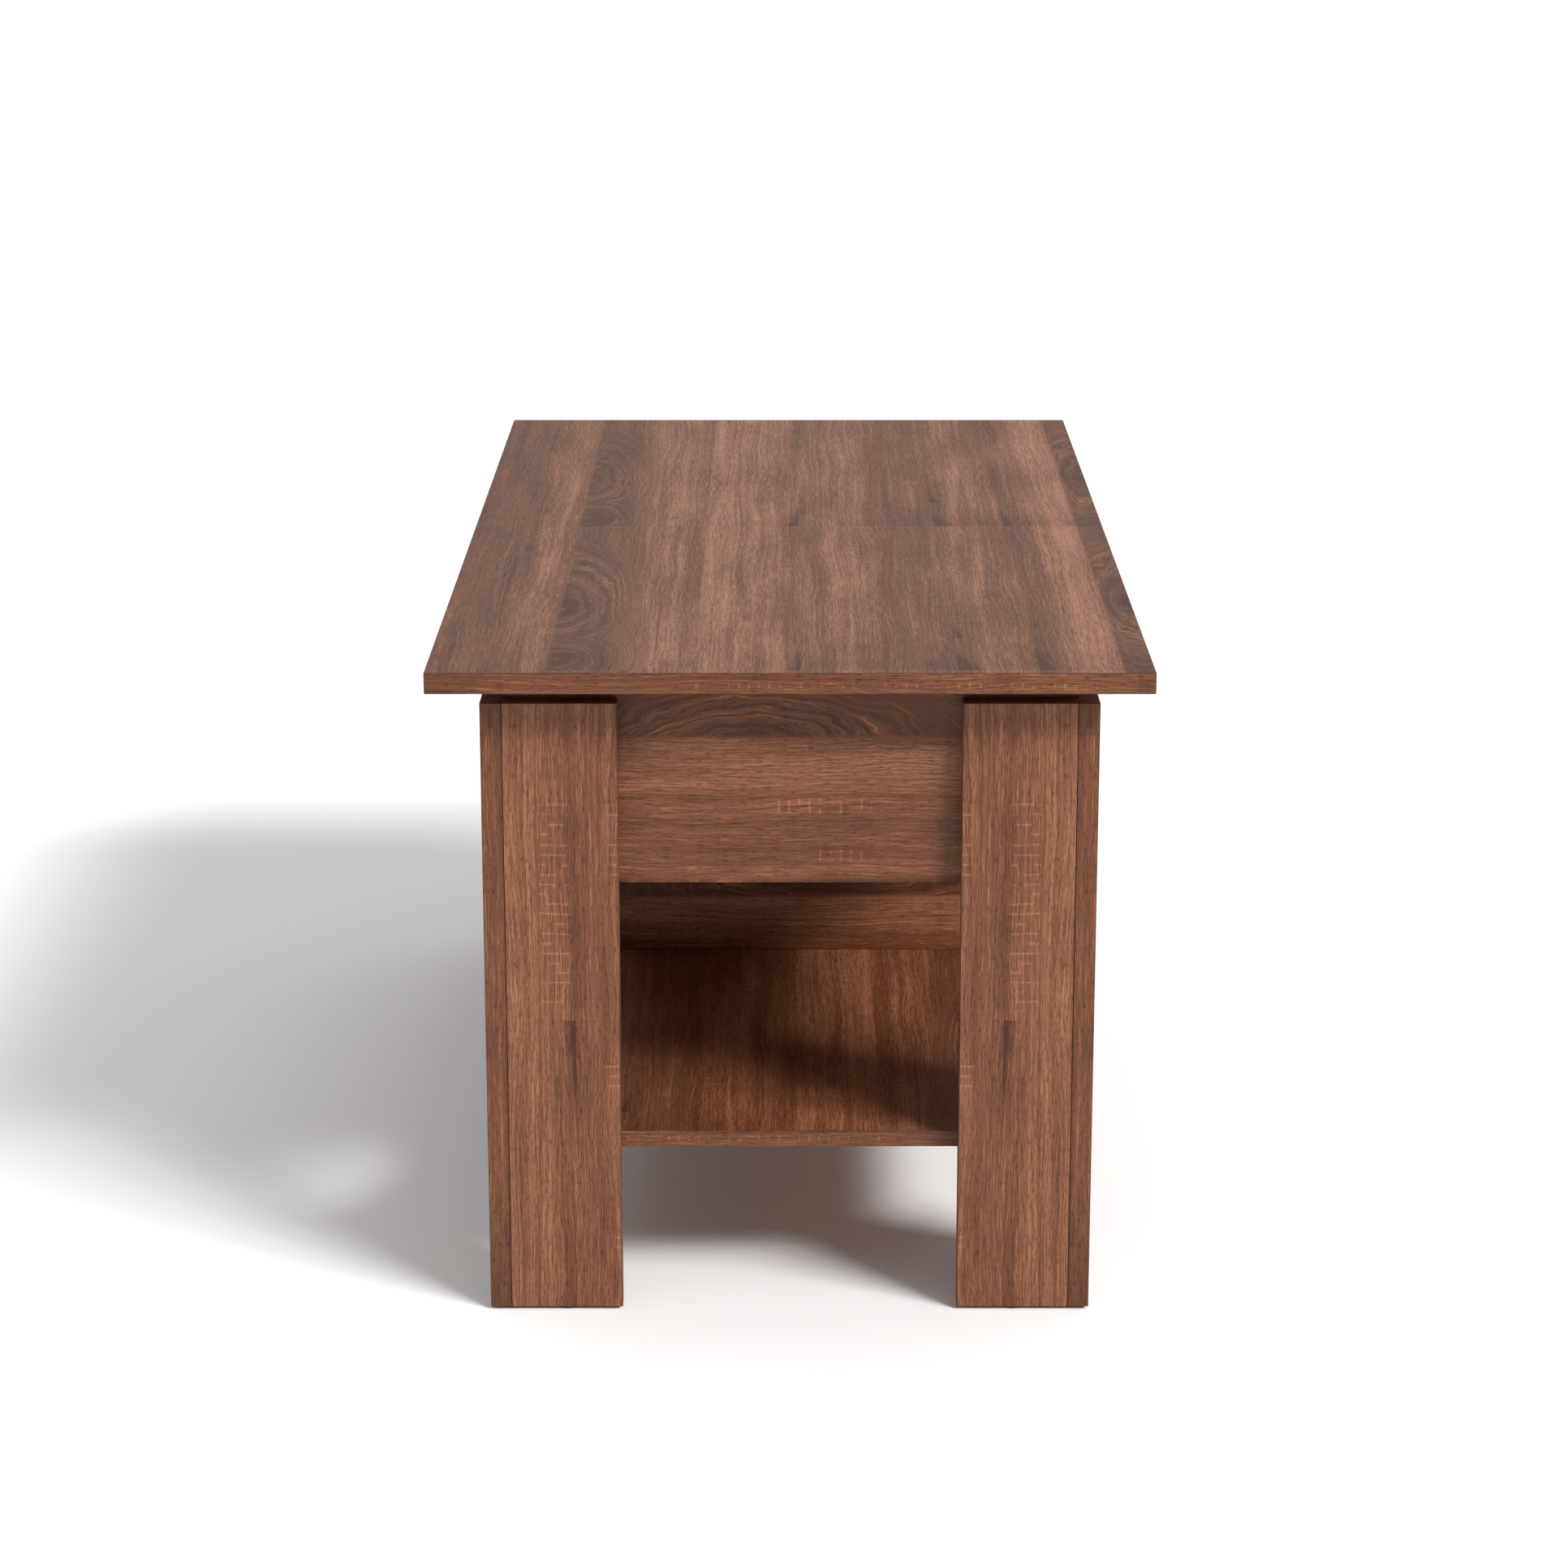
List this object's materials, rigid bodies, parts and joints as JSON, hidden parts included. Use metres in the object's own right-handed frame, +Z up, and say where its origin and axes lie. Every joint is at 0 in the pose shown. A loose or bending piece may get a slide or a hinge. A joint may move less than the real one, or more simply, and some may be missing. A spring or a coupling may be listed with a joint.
{
  "type": "lift top coffee table",
  "caption": "Long low wood-look table on L-shaped board legs, with an open lower shelf and a top that swings up and forward over a storage box.",
  "frame": {"origin": "on the floor under the centre of the table", "axes": "+Z up, +Y along the length, the top lifts and moves towards +X"},
  "size_m": [0.5, 0.975, 0.48],
  "materials": {
    "board": "matt walnut-brown sawn oak melamine",
    "dowel": "plain beech",
    "glide": "matt",
    "bumper": "matt",
    "zinc": "zinc plated",
    "lift_steel": "black powder coat",
    "spring_steel": "oiled spring wire"
  },
  "bodies": {
    "base": {"leg_near_left_end_board": "board", "leg_near_left_side_board": "board", "leg_near_right_end_board": "board", "leg_near_right_side_board": "board", "leg_far_left_end_board": "board", "leg_far_left_side_board": "board", "leg_far_right_end_board": "board", "leg_far_right_side_board": "board", "end_panel_near": "board", "end_panel_far": "board", "side_panel_left": "board", "side_panel_right": "board", "box_floor": "board", "shelf": "board", "shelf_divider": "board", "leg_dowels": "dowel", "panel_dowels": "dowel", "floor_dowels": "dowel", "leg_glides": "glide", "rim_bumpers": "bumper", "cam_locks": "zinc", "cam_bolts": "zinc", "leg_screws": "zinc", "divider_screws": "zinc", "shelf_brackets": "zinc", "shelf_bracket_screws": "zinc", "lift_base_plate_near": "lift_steel", "lift_base_plate_far": "lift_steel", "lift_plate_screws": "zinc", "base_pivot_pins": "zinc", "spring_posts": "zinc", "lift_spring_near": "spring_steel", "lift_spring_far": "spring_steel"},
    "front_arms": {"front_arm_near": "lift_steel", "front_arm_far": "lift_steel", "sync_bar": "lift_steel"},
    "rear_arm_near": {"rear_arm_near": "lift_steel", "spring_pin_near": "zinc"},
    "rear_arm_far": {"rear_arm_far": "lift_steel", "spring_pin_far": "zinc"},
    "lift_top": {"table_top": "board", "top_rail_near": "lift_steel", "top_rail_far": "lift_steel", "top_pivot_pins": "zinc", "top_rail_screws": "zinc"}
  },
  "joints": [
    {"name": "lift", "type": "hinge", "parent": "base", "child": "front_arms", "pos_m": [0.1, 0, 0.415], "axis": [0, 1, 0], "range_deg": [0, 110]},
    {"name": "rear_arm_near_swing", "type": "hinge", "parent": "base", "child": "rear_arm_near", "pos_m": [0.04, 0, 0.382], "axis": [0, 1, 0], "range_deg": [0, 110], "deforming": ["lift_spring_near"]},
    {"name": "rear_arm_far_swing", "type": "hinge", "parent": "base", "child": "rear_arm_far", "pos_m": [0.04, 0, 0.382], "axis": [0, 1, 0], "range_deg": [0, 110], "deforming": ["lift_spring_far"]},
    {"name": "top_level", "type": "hinge", "parent": "front_arms", "child": "lift_top", "pos_m": [-0.097, 0, 0.44974], "axis": [0, 1, 0], "range_deg": [-110, 0]}
  ],
  "couplings": [
    {"joint": "rear_arm_near_swing", "follows": "lift", "ratio": 1},
    {"joint": "rear_arm_far_swing", "follows": "lift", "ratio": 1},
    {"joint": "top_level", "follows": "lift", "ratio": -1}
  ]
}
